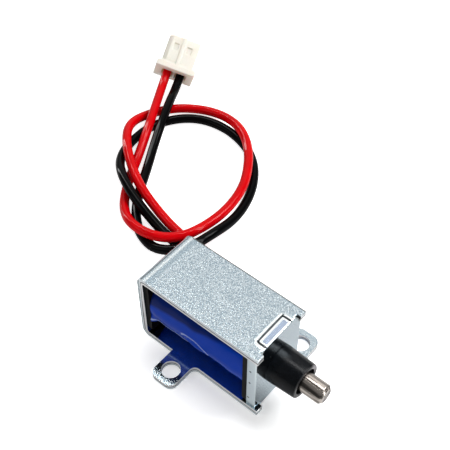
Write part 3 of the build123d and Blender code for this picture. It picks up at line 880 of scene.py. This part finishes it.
class LOCK_OT_steel(bpy.types.Operator):
    """Round the edges of the bent frame, of the front plate and of the plug"""
    bl_idname = "lock.steel"
    bl_label = "Steel frame and plug"

    def execute(self, context):
        shape = context.scene.lock_shape
        frame_piece = rounded_copy("c_frame", "bent_frame", shape.steel_edge, "zinc_steel")
        mark(frame_piece, "sheared", "CORNER", lambda face, place: self.frame_code(shape, face, place))
        mark(frame_piece, "top_skin", "CORNER", lambda face, place: float(face.normal.z > TOPWARD))
        plate = rounded_copy("front_plate", "staked_plate", shape.steel_edge, "zinc_steel")
        mark(plate, "sheared", "CORNER",
             lambda face, place: PLATE_SIDE if abs(face.normal.y) > SLIGHT else SKIN)
        rounded_copy("plug_housing", "moulded_plug", shape.plug_edge, "ivory_nylon")
        return {"FINISHED"}

    def frame_code(self, shape, face, place):
        """What kind of face it is, and on a sheared one how deep in the sheet the place lies."""
        bend_x = FRAME_LOW.x + shape.bend
        lower = FRAME_LOW.z + shape.bend
        upper = FRAME_HIGH.z - shape.bend
        if self.is_rim(face, bend_x):
            return NEAR_RIM if face.center.y < 0 else FAR_RIM
        if abs(face.normal.y) < SLIGHT and (face.center.x < bend_x or abs(face.normal.z) > SQUARE):
            return SKIN
        if place.x > bend_x:
            inward = min(place.z - FRAME_LOW.z, FRAME_HIGH.z - place.z)
        elif place.z < lower:
            inward = shape.bend - math.hypot(place.x - bend_x, place.z - lower)
        elif place.z > upper:
            inward = shape.bend - math.hypot(place.x - bend_x, place.z - upper)
        else:
            inward = place.x - FRAME_LOW.x
        return SHEARED + min(max(inward / shape.sheet, 0.0), 1.0)

    def is_rim(self, face, bend_x):
        """Whether a face belongs to the rolled edge between a skin and a sheared side."""
        x, y, z = (abs(value) for value in face.normal)
        if z < SLIGHT and face.center.x > bend_x:
            return False
        return 2 * SLIGHT < y < SQUARE or (face.center.x > bend_x and 2 * SLIGHT < x < SQUARE)


class LOCK_OT_stakes(bpy.types.Operator):
    """Fill the corners of both notches, where the plate's ends were staked"""
    bl_idname = "lock.stakes"
    bl_label = "Staked corners"

    def execute(self, context):
        shape = context.scene.lock_shape
        select_only(None)
        bpy.ops.mesh.primitive_cube_add(
            size=MM, location=shape.stake_place, scale=[side / MM for side in shape.stake_sides])
        first = context.object
        first.name = "staked_corner"
        bpy.ops.object.transform_apply(location=True, rotation=True, scale=True)
        edit_all()
        bpy.ops.mesh.bevel(offset=shape.stake_edge, segments=2)
        bpy.ops.object.mode_set(mode="OBJECT")
        pieces = [first]
        across, down = shape.stake_across, shape.stake_down
        for step in ((0, across, 0), (0, 0, down), (0, across, down)):
            other = stand("staked_corner", first.data.copy())
            for corner in other.data.vertices:
                corner.co -= Vector(step)
            pieces.append(other)
        for piece in pieces:
            hand_over(piece, "zinc_steel", "frame")
        return {"FINISHED"}


class LOCK_OT_leads(bpy.types.Operator):
    """Lay the two leads, from the coil to the plug"""
    bl_idname = "lock.leads"
    bl_label = "Leads"

    def execute(self, context):
        settings = context.scene.lock_leads
        half = settings.plug_pitch / 2
        self.lay(settings, "red_wire", RED_ROUTE, RED_LENGTH, -half, "lead_red", "red_insulation")
        self.lay(settings, "black_wire", BLACK_ROUTE, BLACK_LENGTH, half, "lead_black", "black_insulation")
        return {"FINISHED"}

    def plug_point(self, settings, along, side):
        """A place in the plug, along it and to its right from the middle of its wire end."""
        turn = settings.plug_heading
        level = math.cos(settings.plug_rise)
        forward = Vector((math.cos(turn) * level, math.sin(turn) * level, math.sin(settings.plug_rise)))
        sideways = Vector((math.sin(turn), -math.cos(turn), 0))
        right = sideways * math.cos(settings.plug_lean)
        right -= sideways.cross(forward) * math.sin(settings.plug_lean)
        return Vector(settings.plug_place) + along * forward + side * right

    def lay(self, settings, name, route, measured, side, node, slot):
        points = [Vector(point) * MM for point in route]
        points.append(self.plug_point(settings, -settings.straight, side))
        points.append(self.plug_point(settings, settings.insertion, side))
        line = bpy.data.curves.new(name, "CURVE")
        line.dimensions = "3D"
        spline = line.splines.new("NURBS")
        spline.points.add(len(points) - 1)
        for place, point in zip(spline.points, points):
            place.co = (*point, 1)
        spline.order_u = 3
        spline.use_endpoint_u = True
        line.resolution_u = 10
        line.bevel_depth = settings.diameter / 2
        line.bevel_resolution = (settings.facets - 4) // 2
        line.use_fill_caps = True
        wire = stand(name, line)
        hand_over(wire, slot, "frame", node)


class LOCK_OT_spring(bpy.types.Operator):
    """Stand a smooth copy of the return spring in its place, with a mesh of its own"""
    bl_idname = "lock.spring"
    bl_label = "Return spring"

    def execute(self, context):
        piece = merged_copy("return_spring", "wound_spring", 0.0005 * MM)
        bpy.ops.object.mode_set(mode="OBJECT")
        bpy.ops.object.shade_smooth_by_angle(angle=math.radians(40))
        hand_over(piece, "spring_steel", "frame", "return_spring")
        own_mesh(piece)
        return {"FINISHED"}


class LOCK_OT_bolt(bpy.types.Operator):
    """Turn the bolt and the black sleeve that it runs in"""
    bl_idname = "lock.bolt"
    bl_label = "Bolt and sleeve"

    def execute(self, context):
        size = context.scene.lock_bolt
        turned("turned_bolt", self.bolt_outline(size), "nickel", "lock_bolt", "bolt")
        sleeve = turned("turned_sleeve", self.sleeve_outline(size), "black_sleeve", "nose_sleeve", "frame")
        mark(sleeve, "end_face", "CORNER", lambda face, place: float(face.normal.x > ENDWARD))
        return {"FINISHED"}

    def bolt_outline(self, size):
        return [
            (size.stem_start, 0.0),
            *round_corner(size.stem_start, size.stem_radius, STEM_CORNER),
            (size.shank_start, size.stem_radius),
            *round_corner(size.shank_start, size.radius, SHANK_CORNER),
            *round_corner(size.tip, size.radius, BOLT_CHAMFER),
            (size.tip, 0.0),
        ]

    def sleeve_outline(self, size):
        floor = size.sleeve_end - size.recess_depth
        root = round_corner(size.sleeve_root, size.root_radius, SLEEVE_ROOT)
        return [
            *root,
            *round_corner(size.sleeve_end, size.end_radius, SLEEVE_NOSE),
            *round_corner(size.sleeve_end, size.recess_radius, RECESS_LIP),
            (floor, size.recess_radius),
            (floor, size.bore),
            (size.spigot_start, size.bore),
            (size.spigot_start, size.spigot_radius),
            (size.sleeve_root, size.spigot_radius),
            root[0],
        ]


class LOCK_OT_tape(bpy.types.Operator):
    """Wind the film tape on the coil, with its lap, its bubble and its lifted rear edge"""
    bl_idname = "lock.tape"
    bl_label = "Coil tape"

    def execute(self, context):
        settings = context.scene.lock_tape
        select_only(None)
        bpy.ops.mesh.primitive_grid_add(x_subdivisions=120, y_subdivisions=260, size=1)
        piece = context.object
        piece.name = "wound_tape"
        span = settings.front - settings.rear
        for corner in piece.data.vertices:
            along = settings.rear + (corner.co.x + 0.5) * span
            turn = settings.seam + (corner.co.y + 0.5) * (2 * math.pi + settings.lap)
            reach = settings.radius + self.lift(settings, along, turn)
            corner.co = (along, -reach * math.cos(turn), settings.axis_height + reach * math.sin(turn))
        edit_all()
        bpy.ops.mesh.normals_make_consistent(inside=False)
        bpy.ops.object.mode_set(mode="OBJECT")
        # Painted highlight along the bubble's rim and the fold
        mark(piece, "crease", "POINT", lambda place: self.crease(settings, place))
        film = piece.modifiers.new("film", "SOLIDIFY")
        film.thickness = settings.film
        film.offset = -1
        bpy.ops.object.modifier_apply(modifier="film")
        bpy.ops.object.shade_smooth_by_angle(angle=math.radians(40))
        hand_over(piece, "blue_tape", "frame", "coil_tape")
        return {"FINISHED"}

    def bubble(self, settings, along, arc):
        """How far out from the middle of the bubble a place lies, 1 at its rim, and on which side."""
        slant, level = math.sin(settings.bubble_tilt), math.cos(settings.bubble_tilt)
        ahead = along - settings.bubble_along
        across = arc * settings.radius + settings.bubble_below
        long_way = (ahead * level + across * slant) / settings.bubble_long
        short_way = (across * level - ahead * slant) / settings.bubble_wide
        return math.hypot(long_way, short_way), short_way

    def rim(self, settings, away, side, sharp):
        """The crease round the bubble's upper half, which fades out at its ends."""
        return hump(away - 1, settings.rim_width) * (0.5 + 0.5 * math.tanh(sharp * side))

    def fold(self, settings, along, arc, width):
        """The fold that runs from the rear edge and fades out."""
        past = max(along - settings.rear - settings.fold_length, 0)
        return hump(arc - settings.fold_turn, math.radians(width)) * hump(past, settings.fold_fade)

    def crease(self, settings, place):
        """How strong the painted highlight is there, along the rim of the bubble and along the fold."""
        arc = math.atan2(place.z - settings.axis_height, -place.y)
        away, side = self.bubble(settings, place.x, arc)
        rim = 0.8 * self.rim(settings, away, side, 5)
        return min(rim + 0.9 * self.fold(settings, place.x, arc, 1.3), 1.0)

    def lift(self, settings, along, turn):
        """How far the film stands off the coil there."""
        is_lapped = turn > settings.seam + 2 * math.pi
        rise = settings.film / 2 if is_lapped else 0.0
        arc = math.remainder(turn, 2 * math.pi)
        for height, per_length, per_turn in TAPE_WAVES:
            rise += height * MM * math.sin(per_length * along / MM + per_turn * math.degrees(arc))
        away, side = self.bubble(settings, along, arc)
        rise += settings.bubble_rise * max(1 - away, 0)
        rise += settings.rim_rise * self.rim(settings, away, side, 4)
        near_edge = hump(along - settings.rear, settings.edge_reach)
        rise += settings.edge_rise * near_edge * hump(arc - settings.edge_turn, settings.edge_span)
        return rise + settings.fold_rise * self.fold(settings, along, arc, 1.6)


PIECES = (LOCK_OT_stage, LOCK_OT_finishes, LOCK_OT_steel, LOCK_OT_stakes, LOCK_OT_leads,
          LOCK_OT_spring, LOCK_OT_bolt, LOCK_OT_tape)


class LOCK_PT_panel(bpy.types.Panel):
    """Lists the lock's pieces in the sidebar"""
    bl_idname = "LOCK_PT_panel"
    bl_label = "Solenoid lock"
    bl_space_type = "VIEW_3D"
    bl_region_type = "UI"
    bl_category = "Solenoid lock"

    def draw(self, context):
        for piece in PIECES:
            self.layout.operator(piece.bl_idname)


SETTINGS = {
    "lock_stage": StageSettings,
    "lock_finish": FinishSettings,
    "lock_marks": MarkSettings,
    "lock_leads": LeadSettings,
    "lock_shape": ShapeSettings,
    "lock_bolt": BoltSettings,
    "lock_tape": TapeSettings,
}


def register():
    for group in SETTINGS.values():
        bpy.utils.register_class(group)
    for name, group in SETTINGS.items():
        setattr(bpy.types.Scene, name, PointerProperty(type=group))
    for piece in PIECES:
        bpy.utils.register_class(piece)
    bpy.utils.register_class(LOCK_PT_panel)


def unregister():
    bpy.utils.unregister_class(LOCK_PT_panel)
    for piece in reversed(PIECES):
        bpy.utils.unregister_class(piece)
    for name, group in SETTINGS.items():
        delattr(bpy.types.Scene, name)
        bpy.utils.unregister_class(group)


def main():
    register()
    bpy.ops.lock.stage()
    bpy.ops.lock.finishes()
    bpy.ops.lock.steel()
    bpy.ops.lock.stakes()
    bpy.ops.lock.leads()
    bpy.ops.lock.spring()
    bpy.ops.lock.bolt()
    bpy.ops.lock.tape()


if __name__ == "__main__":
    main()
